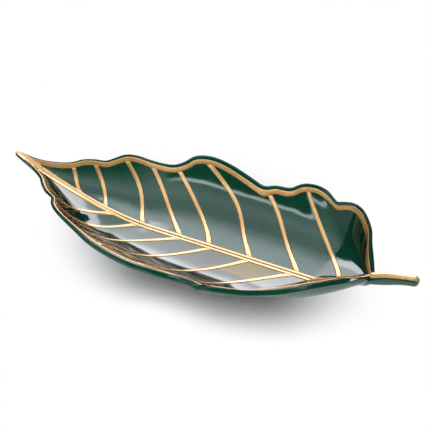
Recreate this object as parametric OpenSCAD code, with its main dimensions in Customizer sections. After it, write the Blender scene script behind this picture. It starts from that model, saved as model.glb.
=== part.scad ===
// Leaf-shaped serving dish: a glazed leaf with a lobed rim and a round stem, standing on
// a lens-shaped foot, with its rim, midrib and side veins picked out in raised gilding.
// X runs along the midrib from the tip to the stem, Y across the leaf, Z up from the table.

/* [Leaf] */
// Length of the blade from its tip to the stem
leaf_length = 300; // [200:5:400]
// Widest span of the blade across its lobes
leaf_width = 150; // [110:2:190]
// Thickness of the glazed wall
wall = 4.5; // [3:0.25:6]
// Width of the blunt tip
tip_width = 3; // [2:0.5:8]
// Rise of the midrib at the tip over the well
tip_rise = 30; // [15:1:45]
// Rise of the midrib at the stem over the well
base_rise = 20; // [10:1:35]
// Rise of a full lobe of the rim over the midrib
rim_rise = 26; // [15:1:40]

/* [Gilding] */
// Thickness of the raised gilding
gilding_thickness = 0.4; // [0.2:0.1:1]
// Width of a side vein
vein_width = 3.4; // [2:0.2:6]
// Width of the band along the rim
band_width = 3.2; // [2:0.2:6]
// Width of the bare lip outside the band
lip_width = 1.8; // [1:0.2:3]
// Width over both strands of the midrib
midrib_width = 6.4; // [4:0.2:9]
// Width of the bare line between the strands
midrib_gap = 0.8; // [0.4:0.1:1.6]

/* [Stem] */
// Length of the stem beyond the blade
stem_length = 34; // [20:1:60]
// Thickness of the stem
stem_diameter = 7; // [5:0.5:10]
// Rise of the stem from the blade to its end
stem_rise = 7; // [0:0.5:15]

/* [Foot] */
// Length of the foot along the leaf
foot_length = 112; // [80:2:150]
// Width of the foot across the leaf
foot_width = 46; // [36:2:60]
// Height of the foot under the belly
foot_height = 4; // [3:0.5:6]
// Width of the flat land that the foot stands on
foot_land = 4; // [3:0.5:6]
// Slope taken off each side of the foot
foot_draft = 1; // [0.5:0.25:1.5]

/* [Hidden] */
$fn = 96;

glaze_green = [0.02, 0.24, 0.17];
gold = [0.90, 0.70, 0.42];
bisque = [0.86, 0.82, 0.74];

// How far the gold tip reaches along the midrib
tip_gilt_share = 0.05;
// The midrib climbs to the tip before this place, and to the stem after the other
tip_climb_share = 0.40;
base_climb_share = 0.85;
tip_climb_power = 1.75;
base_climb_power = 1.1;
// On the far side the end wall climbs square to the midrib, and its floor lies lower than the
// stem's root, which rides on it as a ridge this many stem diameters to each side
end_square_shares = [1, 0];
end_dip_shares = [0.55, 0];
root_ridge_share = 1;
root_seat_share = 0.93;
// The cross section: a fold along the midrib, deep at the tip, under a hollow that steepens to
// the rim, where the lobes rise and fall
fold_share = 0.05;
tip_fold_share = 0.80;
fold_end_share = 0.35;
hollow_powers = [3.6, 3];
lobe_power = 16;
// Veins leave the midrib and then sweep to the tip
sweep_powers = [1.35, 0.95];
vein_flare_share = 1.5;
vein_join_share = 0.06;
// The wall thins toward the tip, and so do the bare lip and the bare line of the midrib
tip_wall_share = 0.65;
tip_thin_share = 0.15;
lip_tip_share = 0.3;
lip_grown_share = 0.65;
gap_tip_share = 0.8;
gap_start_share = 0.22;
gap_full_share = 0.34;
// Limits of bare line, strand, band and lip where the leaf is narrow or its rim runs askew
gap_most_share = 0.11;
strand_most_share = 0.33;
band_least_share = 0.6;
lip_least_share = 0.89;
depth_least_share = 0.5;
end_rim_share = 0.95;

// The rim, station by station: place on the midrib where the cross line starts, place of its
// end along the blade, reach out to the side, rise over the midrib. Reaches and rises are
// shares of the half width and of rim_rise, so lobes and dips are where these wander.
far_shares = [
    [0, 0, 0, 0], [0.10, 0.07, 0.065, 0.28], [0.195, 0.127, 0.215, 0.54],
    [0.24, 0.148, 0.325, 0.68], [0.28, 0.17, 0.385, 0.76], [0.32, 0.194, 0.47, 0.75],
    [0.345, 0.209, 0.525, 0.84], [0.385, 0.23, 0.64, 0.91], [0.43, 0.252, 0.71, 0.83],
    [0.48, 0.281, 0.74, 0.75], [0.57, 0.341, 0.83, 0.65], [0.605, 0.361, 0.89, 0.72],
    [0.64, 0.384, 0.95, 0.90], [0.685, 0.425, 0.99, 0.98], [0.74, 0.508, 0.985, 0.83],
    [0.775, 0.57, 0.92, 0.70], [0.80, 0.60, 0.90, 0.67], [0.845, 0.635, 0.92, 0.83],
    [0.88, 0.66, 0.93, 0.825], [0.905, 0.678, 0.95, 0.87], [0.92, 0.695, 0.985, 1.00],
    [0.93, 0.73, 0.99, 1.07], [0.938, 0.767, 0.955, 1.00], [0.945, 0.787, 0.895, 0.91],
    [0.952, 0.82, 0.88, 1.00], [0.959, 0.86, 0.82, 1.12], [0.966, 0.889, 0.705, 1.04],
    [0.975, 0.93, 0.53, 0.91], [0.985, 0.949, 0.31, 0.76], [0.993, 0.974, 0.14, 0.54],
    [1, 1, 0, 0]];
near_shares = [
    [0, 0, 0, 0], [0.10, 0.073, 0.085, 0.33], [0.16, 0.117, 0.195, 0.54],
    [0.195, 0.14, 0.30, 0.66], [0.24, 0.172, 0.415, 0.84], [0.28, 0.203, 0.485, 0.95],
    [0.32, 0.22, 0.58, 1.04], [0.385, 0.255, 0.695, 1.11], [0.43, 0.29, 0.765, 1.09],
    [0.48, 0.337, 0.85, 1.06], [0.515, 0.38, 0.925, 1.01], [0.57, 0.445, 0.995, 0.97],
    [0.63, 0.513, 0.995, 0.86], [0.685, 0.57, 0.91, 0.70], [0.74, 0.618, 0.88, 0.66],
    [0.80, 0.66, 0.90, 0.72], [0.84, 0.68, 0.92, 0.73], [0.88, 0.70, 0.94, 0.67],
    [0.92, 0.73, 0.95, 0.55], [0.935, 0.765, 0.93, 0.52], [0.948, 0.81, 0.895, 0.53],
    [0.957, 0.86, 0.82, 0.58], [0.966, 0.893, 0.705, 0.55], [0.975, 0.925, 0.53, 0.46],
    [0.985, 0.957, 0.31, 0.30], [0.993, 0.983, 0.13, 0.13], [1, 1, 0, 0]];
// The smooth hollow inside the lobes, as stations of midrib place, reach and rise
far_hollow_shares = [
    [0, 0, 0], [0.10, 0.065, 0.28], [0.20, 0.22, 0.54], [0.30, 0.425, 0.70],
    [0.40, 0.635, 0.79], [0.50, 0.785, 0.74], [0.60, 0.88, 0.74], [0.70, 0.93, 0.78],
    [0.80, 0.93, 0.72], [0.88, 0.95, 0.82], [0.92, 0.965, 0.95], [0.945, 0.90, 1.00],
    [0.966, 0.70, 1.02], [0.985, 0.31, 0.76], [1, 0, 0]];
near_hollow_shares = [
    [0, 0, 0], [0.10, 0.085, 0.33], [0.20, 0.29, 0.68], [0.30, 0.52, 0.98],
    [0.40, 0.71, 1.09], [0.50, 0.86, 1.06], [0.60, 0.95, 0.94], [0.70, 0.94, 0.78],
    [0.80, 0.92, 0.71], [0.88, 0.94, 0.66], [0.92, 0.95, 0.56], [0.945, 0.90, 0.53],
    [0.966, 0.70, 0.55], [0.985, 0.31, 0.30], [1, 0, 0]];
// Side veins: where one leaves the midrib, its bow half way out, its bow near the rim, its slant.
// The first has no partner on the near side, and pairs meet the midrib at a common place.
far_vein_shares = [
    [0.195, 0, 0, 0], [0.265, 0, 0.01, 0.01], [0.375, 0, 0.025, 0], [0.485, -0.015, 0, 0.005],
    [0.57, 0, 0.005, 0], [0.68, 0, 0.04, -0.02], [0.81, -0.02, 0, 0], [0.915, 0, 0, 0]];
near_vein_shares = [
    [0.195, 0, 0, 0], [0.30, -0.01, 0, -0.05], [0.37, 0.015, 0, -0.07], [0.495, -0.01, 0, -0.07],
    [0.58, 0, 0, -0.05], [0.685, 0.005, 0, -0.055], [0.805, -0.01, 0, -0.05], [0.92, 0, 0, -0.03]];
meeting_shares = [0.195, 0.28, 0.37, 0.49, 0.575, 0.68, 0.81, 0.92];

FAR = 0;
NEAR = 1;
rim_shares = [far_shares, near_shares];
hollow_shares = [far_hollow_shares, near_hollow_shares];
vein_shares = [far_vein_shares, near_vein_shares];
half_width = leaf_width / 2;
tip_half = tip_width / 2;
stem_r = stem_diameter / 2;
tip_x = -(leaf_length + stem_length) / 2;
base_x = tip_x + leaf_length;
well_z = foot_height + wall;

// How finely the leaf is divided: rows from tip to stem, columns from midrib to rim
tip_rows = 2;
panel_rows = 6;
vein_rows = 1;
base_rows = 20;
hollow_columns = 8;
column_power = 1.4;
column_count = hollow_columns + 4;
last_knot = 2 * len(meeting_shares) + 2;

function mix(a, b, t) = a + (b - a) * t;
function clamp01(t) = min(max(t, 0), 1);
function ease(t) = t * t * (3 - 2 * t);
function unit(p) = p / norm(p);

// Smooth curve through one column of a table of stations
function chord(tab, col, i) = (tab[i + 1][col] - tab[i][col]) / (tab[i + 1][0] - tab[i][0]);
function steer(tab, col, i) =
    i == 0 ? chord(tab, col, 0) :
    i == len(tab) - 1 ? chord(tab, col, i - 1) :
    let (before = tab[i][0] - tab[i - 1][0], after = tab[i + 1][0] - tab[i][0])
    (chord(tab, col, i - 1) * after + chord(tab, col, i) * before) / (before + after);
function station(tab, s) = max([for (i = [0 : len(tab) - 2]) if (i == 0 || tab[i][0] <= s) i]);
function curve(tab, col, s) =
    let (i = station(tab, s), span = tab[i + 1][0] - tab[i][0], t = (s - tab[i][0]) / span,
        a = tab[i][col], b = tab[i + 1][col],
        p = steer(tab, col, i) * span, q = steer(tab, col, i + 1) * span)
    mix(a, b, ease(t)) + t * (1 - t) * (p * (1 - t) - q * t);

// The upper face of the leaf at midrib share s and cross share v
root_ridge = root_ridge_share * stem_diameter;
function tip_z(s) = tip_rise * pow(max(0, 1 - s / tip_climb_share), tip_climb_power);
function base_z(x) =
    base_rise * pow(max(0, x - base_climb_share) / (1 - base_climb_share), base_climb_power);
function midrib_z(s) = well_z + tip_z(s) + base_z(s);
function reach(tab, col, s) = mix(mix(tip_half, stem_r, s), half_width, curve(tab, col, s));
function rim_reach(side, s) = reach(rim_shares[side], 2, s);
function face(side, s, v) =
    let (lobe = pow(v, lobe_power),
        x = mix(s, curve(rim_shares[side], 1, s), pow(v, sweep_powers[side])),
        inner = reach(hollow_shares[side], 1, s), outer = rim_reach(side, s),
        y = inner * v + (outer - inner) * lobe,
        low = rim_rise * curve(hollow_shares[side], 2, s),
        high = rim_rise * curve(rim_shares[side], 3, s),
        fold = mix(fold_share, tip_fold_share, clamp01(1 - s / fold_end_share)),
        ridge = exp(-pow(y / root_ridge, 2)),
        climb = base_z(mix(s, x, end_square_shares[side])))
    [tip_x + leaf_length * x, side == FAR ? y : -y,
        well_z + tip_z(s) + climb * (1 - end_dip_shares[side] * (1 - ridge))
            + low * mix(pow(v, hollow_powers[side]), v, fold) + (high - low) * lobe];

// Directions on that face, along the leaf and across it
s_step_share = 0.004;
v_step_share = 0.03;
function along(side, s, v) =
    (face(side, min(s + s_step_share, 1), v) - face(side, max(s - s_step_share, 0), v))
    / (min(s + s_step_share, 1) - max(s - s_step_share, 0));
function across(side, s, v) = (face(side, s, v) - face(side, s, v - v_step_share)) / v_step_share;

// The line of a vein, and half its width as a share of the midrib: it flares at its root
function hook(v) = 256 / 27 * pow(v, 3) * (1 - v);
function vein_share(side, k, v) =
    let (row = vein_shares[side][k])
    row[0] + row[1] * 4 * v * (1 - v) + row[2] * hook(v) + row[3] * v;
function vein_point(side, k, v) = face(side, vein_share(side, k, v), v);
function vein_spread(side, k, v) =
    let (path = vein_point(side, k, v) - vein_point(side, k, v - v_step_share))
    norm(cross(along(side, vein_share(side, k, v), v), path)) / norm(path);
vein_root_share = vein_flare_share * vein_width / 2 / leaf_length;
vein_half_shares = [for (side = [FAR, NEAR]) [for (k = [0 : len(meeting_shares) - 1])
    [for (v = [1 / 2, 1]) vein_width / 2 / vein_spread(side, k, v)]]];
function vein_half(side, k, v) =
    let (h = vein_half_shares[side][k])
    v < 1 / 2 ? mix(vein_root_share, h[0], ease(2 * v)) : mix(h[0], h[1], 2 * v - 1);

// Rows run between knots: tip, end of the gold tip, both edges of each vein, stem
function knot(side, i, v) =
    i == 0 ? 0 : i == 1 ? tip_gilt_share : i == last_knot ? 1 :
    let (k = floor((i - 2) / 2))
    mix(meeting_shares[k], vein_share(side, k, v), ease(clamp01(v / vein_join_share)))
        + (i % 2 == 0 ? -1 : 1) * vein_half(side, k, v);
function row_steps(i) = i == 0 ? tip_rows : i == last_knot - 1 ? base_rows :
    i % 2 == 0 ? vein_rows : panel_rows;
function row_at(i) = i == 0 ? 0 : row_at(i - 1) + row_steps(i - 1);
rows = [for (i = [0 : last_knot - 1], m = [0 : row_steps(i) - (i == last_knot - 1 ? 0 : 1)])
    [i, m / row_steps(i)]];
row_count = len(rows);
function row_share(side, r, v) =
    mix(knot(side, rows[r][0], v), knot(side, rows[r][0] + 1, v), rows[r][1]);

// Columns: bare line, strand, hollow, bare lip and band; narrow where the leaf is narrow
function grown(s, from_share, to_share) = ease(clamp01((s - from_share) / (to_share - from_share)));
function rim_depth(side, s) =
    let (rim = along(side, s, 1), out = across(side, s, 1),
        least = depth_least_share * (1 - grown(s, end_rim_share, mix(end_rim_share, 1, 1 / 3))))
    max(norm(cross(out, rim)) / norm(rim), norm(out) * least);
function column_shares(side, r) =
    let (s = row_share(side, r, 1), root = row_share(side, r, 0),
        deep = rim_depth(side, s), span = rim_reach(side, root),
        bare = midrib_gap * mix(gap_tip_share, 1, grown(root, gap_start_share, gap_full_share)),
        lip = lip_width * mix(lip_tip_share, 1, grown(s, 0, lip_grown_share)),
        gap = min(bare / 2 / span, gap_most_share),
        strand = min(midrib_width / 2 / span, strand_most_share),
        inner = max(1 - (lip + band_width) / deep, band_least_share),
        outer = max(1 - lip / deep, lip_least_share))
    concat([0, gap],
        [for (j = [0 : hollow_columns])
            mix(strand, inner, 1 - pow(1 - j / hollow_columns, column_power))],
        [outer, 1]);
column_table = [for (side = [FAR, NEAR]) [for (r = [0 : row_count - 1]) column_shares(side, r)]];

// The upper face as a grid from the near rim to the far rim
middle = column_count;
width_count = 2 * column_count + 1;
top = [for (r = [0 : row_count - 1]) [for (c = [-column_count : column_count])
    let (side = c < 0 ? NEAR : FAR, v = column_table[side][r][abs(c)])
    face(side, row_share(side, r, v), v)]];
function square_end(r) = r == 0 || r == row_count - 1;
function top_normal(r, c) = square_end(r) ? [0, 0, 1] :
    unit(cross(top[r + 1][c] - top[r - 1][c],
        top[r][min(c + 1, width_count - 1)] - top[r][max(c - 1, 0)]));
normals = [for (r = [0 : row_count - 1]) [for (c = [0 : width_count - 1]) top_normal(r, c)]];

// The under face lies one wall below, flattened over the foot
foot_x = mix(tip_x, base_x, (tip_climb_share + base_climb_share) / 2);
pad_margin = 2 * wall;
pad_fade_share = 0.5;
function wall_here(r) =
    wall * mix(tip_wall_share, 1, ease(clamp01(row_share(FAR, r, 0) / tip_thin_share)));
function belly(p) =
    let (far_out = norm([(p.x - foot_x) / (foot_length / 2 + pad_margin),
            p.y / (foot_width / 2 + pad_margin)]),
        t = ease(clamp01((far_out - 1) / pad_fade_share)))
    [p.x, p.y, mix(foot_height, max(p.z, foot_height), t)];
// Beside the stem's root wall and gilding are measured straight up and down, so that the
// ridge doesn't fold them
function hang(r, c) =
    let (by_root = exp(-pow(top[r][c].y / (2 * root_ridge), 2)),
        at_end = grown(row_share(FAR, r, 0), base_climb_share, root_seat_share))
    unit(mix(normals[r][c], [0, 0, 1], by_root * at_end));
bottom = [for (r = [0 : row_count - 1]) [for (c = [0 : width_count - 1])
    belly(top[r][c] - hang(r, c) * wall_here(r))]];

// The lip bulges out half way down its edge
lip_bulge_share = 0.3;
function lip(r, c, inward) =
    let (out = top[r][c] - top[r][inward], flat = [square_end(r) ? 0 : out.x, out.y, out.z])
    (top[r][c] + bottom[r][c]) / 2 + unit(flat) * wall_here(r) * lip_bulge_share;
near_lip = [for (r = [0 : row_count - 1]) lip(r, 0, 1)];
far_lip = [for (r = [0 : row_count - 1]) lip(r, width_count - 1, width_count - 2)];

// Triangles of one cell of a grid, cut the other way on the near side of the midrib
function cell(a, b, c, d, near) = near ? [[a, d, b], [d, c, b]] : [[a, d, c], [a, c, b]];
function flip(faces) = [for (f = faces) [f[2], f[1], f[0]]];
function quad(a, b, c, d) = [[a, b, c], [a, c, d]];
function flat(lists) = [for (list = lists) each list];

// Solid between a lower and an upper grid of the same size; with lips, its long edges bulge
module slab(lower, upper, first_column, lip_a = [], lip_b = []) {
    m = len(lower) - 1;
    n = len(lower[0]) - 1;
    size = (m + 1) * (n + 1);
    function u(r, c) = r * (n + 1) + c;
    function l(r, c) = size + u(r, c);
    lips = len(lip_a) > 0;
    function la(r) = 2 * size + r;
    function lb(r) = 2 * size + m + 1 + r;
    skins = [for (r = [0 : m - 1], c = [0 : n - 1]) let (near = first_column + c < middle)
        concat(
            cell(u(r, c), u(r + 1, c), u(r + 1, c + 1), u(r, c + 1), near),
            flip(cell(l(r, c), l(r + 1, c), l(r + 1, c + 1), l(r, c + 1), near)))];
    plain_sides = [for (r = [0 : m - 1]) concat(
        quad(u(r, 0), u(r + 1, 0), l(r + 1, 0), l(r, 0)),
        quad(u(r, n), l(r, n), l(r + 1, n), u(r + 1, n)))];
    lip_sides = [for (r = [0 : m - 1]) concat(
        quad(u(r, 0), u(r + 1, 0), la(r + 1), la(r)),
        quad(la(r), la(r + 1), l(r + 1, 0), l(r, 0)),
        quad(u(r, n), lb(r), lb(r + 1), u(r + 1, n)),
        quad(lb(r), l(r, n), l(r + 1, n), lb(r + 1)))];
    ends = [for (c = [0 : n - 1]) concat(
        quad(u(0, c), l(0, c), l(0, c + 1), u(0, c + 1)),
        quad(u(m, c), u(m, c + 1), l(m, c + 1), l(m, c)))];
    lip_ends = [[[u(0, n), l(0, n), lb(0)], [u(0, 0), la(0), l(0, 0)],
        [u(m, n), lb(m), l(m, n)], [u(m, 0), l(m, 0), la(m)]]];
    polyhedron(
        points = concat(flat(upper), flat(lower), lip_a, lip_b),
        faces = flat(concat(skins, ends, lips ? lip_sides : plain_sides, lips ? lip_ends : [])));
}

// Gilding over a patch of the upper face
module gilt(r0, r1, c0, c1) {
    lower = [for (r = [r0 : r1]) [for (c = [c0 : c1]) top[r][c]]];
    upper = [for (r = [r0 : r1]) [for (c = [c0 : c1]) top[r][c] + hang(r, c) * gilding_thickness]];
    color(gold) slab(lower, upper, c0);
}

// Rows and columns that the gilding is laid between
gilt_row = row_at(1);
end_row = row_count - 1;
strand_in = 1;
strand_out = 2;
band_in = column_count - 2;
band_out = column_count - 1;

module leaf_body() {
    color(glaze_green) slab(bottom, top, 0, near_lip, far_lip);
}

module tip_gilding() {
    gilt(0, gilt_row, middle - band_out, middle + band_out);
}

module rim_band_far() {
    gilt(gilt_row, end_row, middle + band_in, middle + band_out);
}

module rim_band_near() {
    gilt(gilt_row, end_row, middle - band_out, middle - band_in);
}

module midrib_strand_far() {
    gilt(gilt_row, end_row, middle + strand_in, middle + strand_out);
}

module midrib_strand_near() {
    gilt(gilt_row, end_row, middle - strand_out, middle - strand_in);
}

module vein_far(k) {
    i = 2 + 2 * k;
    gilt(row_at(i), row_at(i + 1), middle + strand_out, middle + band_in);
}

module vein_near(k) {
    i = 2 + 2 * k;
    gilt(row_at(i), row_at(i + 1), middle - band_in, middle - strand_out);
}

// The stem: rings from the end of the blade, flat as the wall at first and then round
stem_rings = 10;
stem_sides = 16;
stem_gilt_sides = 3;
stem_round_share = 0.3;
stem_droop_share = 0.15;
stem_chamfer_share = 0.75;
stem_root_z = midrib_z(1) - wall / 2;
function stem_place(k) = k < stem_rings ? k / (stem_rings - 1 / 4) : 1;
function stem_ring(k, extra) =
    let (t = stem_place(k), end = k == stem_rings ? stem_chamfer_share : 1,
        tall = end * mix(wall / 2, stem_r, ease(clamp01(t / stem_round_share))) + extra,
        wide = end * stem_r + extra,
        z = stem_root_z + stem_rise * t * (1 + stem_droop_share * (1 - t)))
    [for (m = [0 : stem_sides - 1])
        let (a = 360 * m / stem_sides)
        [base_x + stem_length * t, wide * sin(a), z + tall * cos(a)]];

module stem() {
    rings = [for (k = [0 : stem_rings]) stem_ring(k, 0)];
    function at(k, m) = k * stem_sides + m % stem_sides;
    sides = [for (k = [0 : stem_rings - 1], m = [0 : stem_sides - 1])
        quad(at(k, m), at(k, m + 1), at(k + 1, m + 1), at(k + 1, m))];
    root = [for (m = [stem_sides - 1 : -1 : 0]) at(0, m)];
    end = [for (m = [0 : stem_sides - 1]) at(stem_rings, m)];
    color(glaze_green) polyhedron(points = flat(rings), faces = concat(flat(sides), [root, end]));
}

module stem_gilding() {
    picks = [for (m = [-stem_gilt_sides : stem_gilt_sides]) (m + stem_sides) % stem_sides];
    lower = [for (k = [0 : stem_rings]) let (ring = stem_ring(k, 0)) [for (m = picks) ring[m]]];
    upper = [for (k = [0 : stem_rings])
        let (ring = stem_ring(k, gilding_thickness)) [for (m = picks) ring[m]]];
    color(gold) slab(lower, upper, middle);
}

// The foot: a ring between two lenses, each the overlap of two wide drafted discs
lens_r = (pow(foot_length, 2) + pow(foot_width, 2)) / (4 * foot_width);
lens_off = lens_r - foot_width / 2;

module lens(r_low, r_high) {
    intersection() {
        translate([0, lens_off, 0]) cylinder(h = foot_height, r1 = r_low, r2 = r_high);
        translate([0, -lens_off, 0]) cylinder(h = foot_height, r1 = r_low, r2 = r_high);
    }
}

module foot_ring() {
    land_r = lens_r - foot_draft;
    color(bisque) translate([foot_x, 0, 0]) difference() {
        lens(land_r, lens_r);
        lens(land_r - foot_land, land_r - foot_land - foot_draft);
    }
}

leaf_body();
stem();
foot_ring();
tip_gilding();
rim_band_far();
rim_band_near();
midrib_strand_far();
midrib_strand_near();
stem_gilding();
vein_far(0);  // vein_far_1
vein_far(1);  // vein_far_2
vein_far(2);  // vein_far_3
vein_far(3);  // vein_far_4
vein_far(4);  // vein_far_5
vein_far(5);  // vein_far_6
vein_far(6);  // vein_far_7
vein_far(7);  // vein_far_8
vein_near(1);  // vein_near_1
vein_near(2);  // vein_near_2
vein_near(3);  // vein_near_3
vein_near(4);  // vein_near_4
vein_near(5);  // vein_near_5
vein_near(6);  // vein_near_6
vein_near(7);  // vein_near_7
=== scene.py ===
# %% [markdown]
# # A gilded leaf dish
#
# The object is a serving dish in the shape of a leaf: a moulded ceramic blade with a lobed rim,
# a round stem, and an unglazed foot. It is glazed a deep bottle green, and its rim, midrib and
# side veins are drawn over the glaze in gold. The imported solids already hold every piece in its
# place, so this script loads them first and dresses each one with a finer surface.

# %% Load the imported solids
import math
from bisect import bisect_right

import bmesh
import bpy
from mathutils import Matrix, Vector


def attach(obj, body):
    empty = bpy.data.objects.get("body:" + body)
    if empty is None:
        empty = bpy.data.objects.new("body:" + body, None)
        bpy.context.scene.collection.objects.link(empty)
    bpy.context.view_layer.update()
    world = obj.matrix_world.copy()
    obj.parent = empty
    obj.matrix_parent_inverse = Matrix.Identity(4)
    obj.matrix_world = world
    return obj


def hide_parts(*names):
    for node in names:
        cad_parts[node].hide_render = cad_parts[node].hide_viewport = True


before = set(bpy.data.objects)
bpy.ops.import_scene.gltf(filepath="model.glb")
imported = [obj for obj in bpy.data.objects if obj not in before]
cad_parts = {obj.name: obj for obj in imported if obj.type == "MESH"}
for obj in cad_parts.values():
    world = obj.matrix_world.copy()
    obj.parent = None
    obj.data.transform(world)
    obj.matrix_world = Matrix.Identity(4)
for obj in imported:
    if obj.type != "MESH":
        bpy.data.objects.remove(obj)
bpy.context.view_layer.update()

# %% [markdown]
# ## The camera
#
# The photograph looks down on the dish from the stem's side with a long lens. The camera could
# be guessed and nudged, but here its angle, height and lens were fitted to the midrib, the veins
# and the rim, so it is written down as an eye point and the point that it looks at.

# %% Camera
PHOTO_SIDE = 430
FOCAL_PIXELS = 1526.5
EYE_DISTANCE = 1.100
EYE_TURN = math.radians(31.0)
EYE_LIFT = math.radians(32.0)
WATCHED = Vector((0.002, 0.0, 0.020))
WATCHED_LEFT, WATCHED_DOWN = 8.0, 17.4

to_eye = Vector((math.sin(EYE_TURN) * math.cos(EYE_LIFT),
                 -math.cos(EYE_TURN) * math.cos(EYE_LIFT), math.sin(EYE_LIFT)))
eye_right = Vector((math.cos(EYE_TURN), math.sin(EYE_TURN), 0.0))
eye_up = to_eye.cross(eye_right)
metres_per_pixel = EYE_DISTANCE / FOCAL_PIXELS
aim = WATCHED + (eye_right * WATCHED_LEFT + eye_up * WATCHED_DOWN) * metres_per_pixel

lens = bpy.data.cameras.new("photo_lens")
lens.sensor_width = 36.0
lens.lens = lens.sensor_width * FOCAL_PIXELS / PHOTO_SIDE
camera = bpy.data.objects.new("photo_camera", lens)
bpy.context.scene.collection.objects.link(camera)
camera.location = WATCHED + to_eye * EYE_DISTANCE
camera.rotation_euler = (aim - camera.location).to_track_quat("-Z", "Y").to_euler()
bpy.context.scene.camera = camera
bpy.context.scene.view_settings.view_transform = "Standard"
print("camera at", [round(c, 3) for c in camera.location], "lens", round(lens.lens, 1), "mm")

# %% [markdown]
# ## The shape of the leaf
#
# Every point of the upper face has two shares: how far along the midrib its cross line starts,
# and how far out along that line it lies. A sculpted mesh would look as good, but with one
# formula the blade, the lip and every stroke of gold follow the same face and can't drift apart.
#
# The two sides are made in two ways. The far side is one smooth bowl, and its waved rim cuts that
# bowl higher or lower. The near side is a smooth bowl too, whose lobes curl only close to the rim.

# %% Sizes of the leaf
MM = 0.001
LEAF_LENGTH, STEM_LENGTH = 300 * MM, 34 * MM
HALF_WIDTH, WALL = 75 * MM, 4.5 * MM
TIP_HALF, STEM_RADIUS = 1.5 * MM, 3.5 * MM
TIP_RISE, BASE_RISE, RIM_RISE = 30 * MM, 20 * MM, 26 * MM
FOOT_LENGTH, FOOT_WIDTH, FOOT_HEIGHT = 112 * MM, 46 * MM, 4 * MM
FOOT_LAND, FOOT_DRAFT = 4 * MM, 1 * MM
TIP_CLIMB, TIP_POWER = 0.40, 1.75
BASE_CLIMB, BASE_POWER = 0.85, 1.1
ROOT_WIDTH, ROOT_SEAT = 4.5 * MM, 0.93
FOLD, TIP_FOLD, FOLD_END = 0.05, 0.80, 0.35
LOBE_POWER, TRIM_POWER = 16.0, 6.0
TIP_X = -(LEAF_LENGTH + STEM_LENGTH) / 2
BASE_X = TIP_X + LEAF_LENGTH
WELL_Z = FOOT_HEIGHT + WALL
FOOT_X = TIP_X + LEAF_LENGTH * (TIP_CLIMB + BASE_CLIMB) / 2
FAR, NEAR = 1, -1
SWEEP_POWERS, HOLLOW_POWERS = {FAR: 1.35, NEAR: 0.95}, {FAR: 3.6, NEAR: 3.0}
# On the far side the end wall climbs square to the midrib, lower than the stem's root
END_SQUARE, ROOT_DIP = {FAR: 1.0, NEAR: 0.0}, {FAR: 0.55, NEAR: 0.0}
print("leaf", round(LEAF_LENGTH, 3), "by", round(2 * HALF_WIDTH, 3), "m")

# %% Stations of the rims, the hollows and the veins
# Near rim: share of the midrib, share of the blade, reach to the side, lift
RIM = [
    (0, 0, 0, 0), (0.10, 0.073, 0.085, 0.33), (0.16, 0.117, 0.195, 0.54),
    (0.195, 0.14, 0.30, 0.66), (0.24, 0.172, 0.415, 0.84), (0.28, 0.203, 0.485, 0.95),
    (0.32, 0.22, 0.58, 1.04), (0.385, 0.255, 0.695, 1.11), (0.43, 0.29, 0.765, 1.09),
    (0.48, 0.337, 0.85, 1.06), (0.515, 0.38, 0.925, 1.01), (0.57, 0.445, 0.995, 0.97),
    (0.63, 0.513, 0.995, 0.86), (0.685, 0.57, 0.91, 0.70), (0.74, 0.618, 0.88, 0.66),
    (0.80, 0.66, 0.90, 0.72), (0.84, 0.68, 0.92, 0.73), (0.88, 0.70, 0.94, 0.67),
    (0.92, 0.73, 0.95, 0.55), (0.935, 0.765, 0.93, 0.52), (0.948, 0.81, 0.895, 0.53),
    (0.957, 0.86, 0.82, 0.58), (0.966, 0.893, 0.705, 0.55), (0.975, 0.925, 0.53, 0.46),
    (0.985, 0.957, 0.31, 0.30), (0.993, 0.983, 0.13, 0.13), (1, 1, 0, 0)]
# Smooth hollow inside the lobes: share of the midrib, reach, lift, and for the far side the share
# of the blade at which the cross line ends
HOLLOW = {
    FAR: [
        (0, 0, 0, 0), (0.10, 0.065, 0.28, 0.07), (0.20, 0.22, 0.54, 0.128),
        (0.30, 0.425, 0.70, 0.182), (0.40, 0.635, 0.79, 0.238), (0.50, 0.785, 0.75, 0.296),
        (0.60, 0.88, 0.75, 0.363), (0.70, 0.93, 0.81, 0.452), (0.80, 0.935, 0.76, 0.575),
        (0.88, 0.95, 0.80, 0.662), (0.92, 0.965, 0.89, 0.718), (0.945, 0.90, 0.95, 0.79),
        (0.966, 0.70, 1.00, 0.887), (0.975, 0.53, 0.92, 0.925), (0.985, 0.31, 0.76, 0.951),
        (0.993, 0.14, 0.54, 0.974), (1, 0, 0, 1)],
    NEAR: [
        (0, 0, 0), (0.10, 0.085, 0.33), (0.20, 0.29, 0.68), (0.30, 0.52, 0.98),
        (0.40, 0.71, 1.09), (0.50, 0.86, 1.06), (0.60, 0.95, 0.94), (0.70, 0.94, 0.78),
        (0.80, 0.92, 0.71), (0.88, 0.94, 0.66), (0.92, 0.95, 0.56), (0.945, 0.90, 0.53),
        (0.966, 0.70, 0.55), (0.985, 0.31, 0.30), (1, 0, 0)],
}
# Far rim: share of the midrib, how far up the bowl the rim cuts it
TRIM = [
    (0, 1), (0.10, 1), (0.195, 1.003), (0.24, 1.037), (0.28, 1.029), (0.32, 1.006), (0.345, 1.017),
    (0.385, 1.034), (0.43, 1.021), (0.48, 0.989), (0.57, 0.976), (0.605, 1.004), (0.64, 1.041),
    (0.685, 1.059), (0.74, 1.044), (0.775, 1.005), (0.80, 0.971), (0.845, 0.995), (0.88, 1.00),
    (0.905, 1.024), (0.92, 1.039), (0.93, 1.042), (0.938, 1.029), (0.945, 0.99), (0.952, 1.012),
    (0.959, 1.036), (0.966, 1.024), (0.975, 1), (0.985, 1), (0.993, 1), (1, 1)]
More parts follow.
